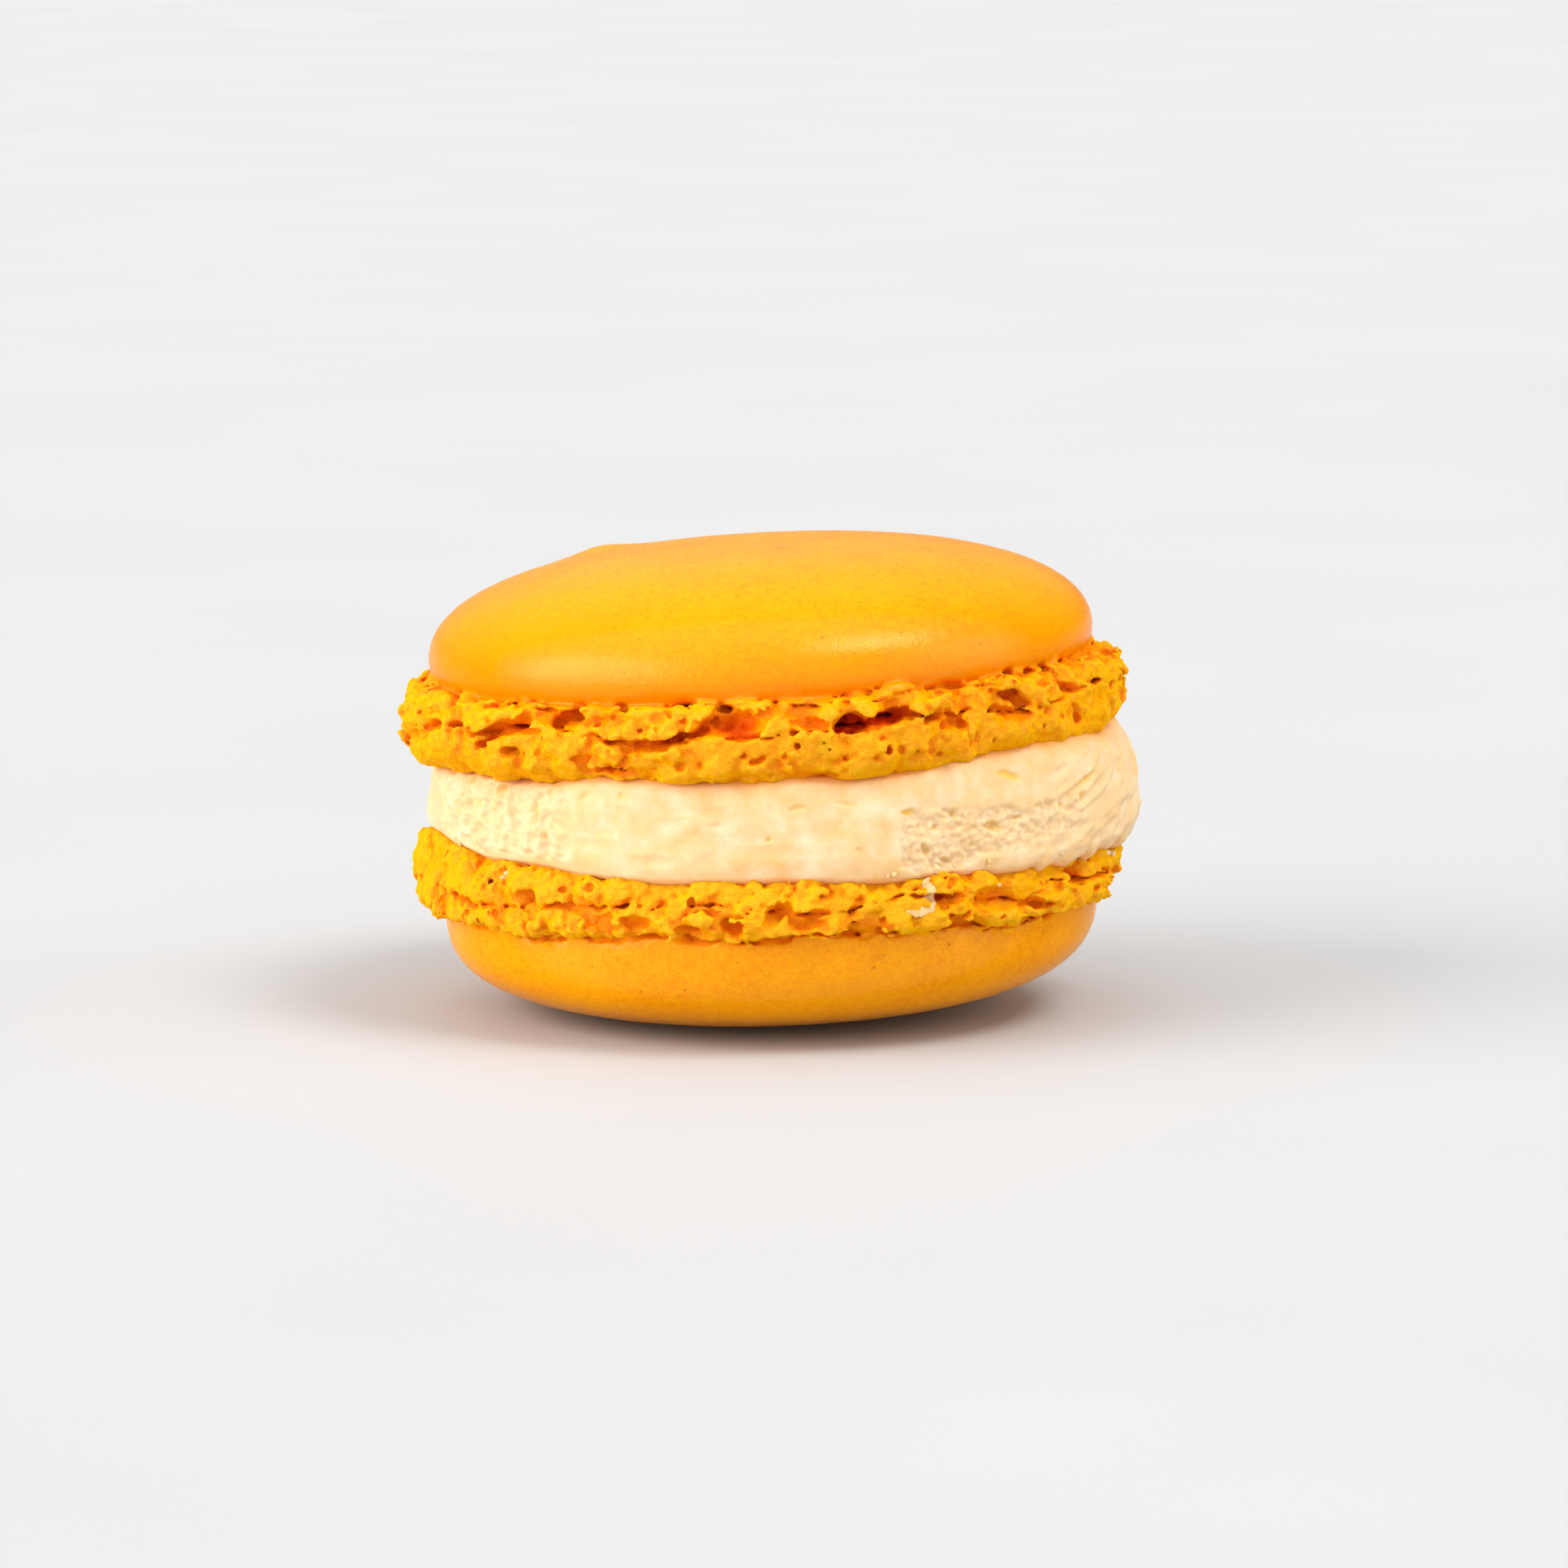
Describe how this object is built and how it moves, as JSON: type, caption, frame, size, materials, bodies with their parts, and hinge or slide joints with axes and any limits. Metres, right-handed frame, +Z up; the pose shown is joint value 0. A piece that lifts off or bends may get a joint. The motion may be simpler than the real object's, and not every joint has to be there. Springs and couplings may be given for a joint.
{
  "type": "french macaron",
  "caption": "Orange French macaron: domed almond meringue shells with ruffled, torn feet round a thick band of pale vanilla buttercream, standing on its rounded lower shell.",
  "frame": {"origin": "on the table, at the centre of the bounding box's bottom face", "axes": "+Z up. -Y is the front, the side that shows most of the torn foot. +X is the side on which the filling is thickest and bulges out"},
  "size_m": [0.0455, 0.0442, 0.0292],
  "materials": {
    "upper_meringue": "baked almond meringue: a smooth satin skin in saturated yellow-orange on the cap, with faint pores, and a rough, open, slightly glossier foam on the foot",
    "buttercream": "whipped buttercream, cream yellow, soft satin, smeared smooth in places and torn rough in others, with small pits",
    "lower_meringue": "baked almond meringue like the upper shell, a little less shiny"
  },
  "bodies": {
    "root": {"upper_shell": "upper_meringue", "filling": "buttercream", "lower_shell": "lower_meringue"}
  },
  "joints": []
}
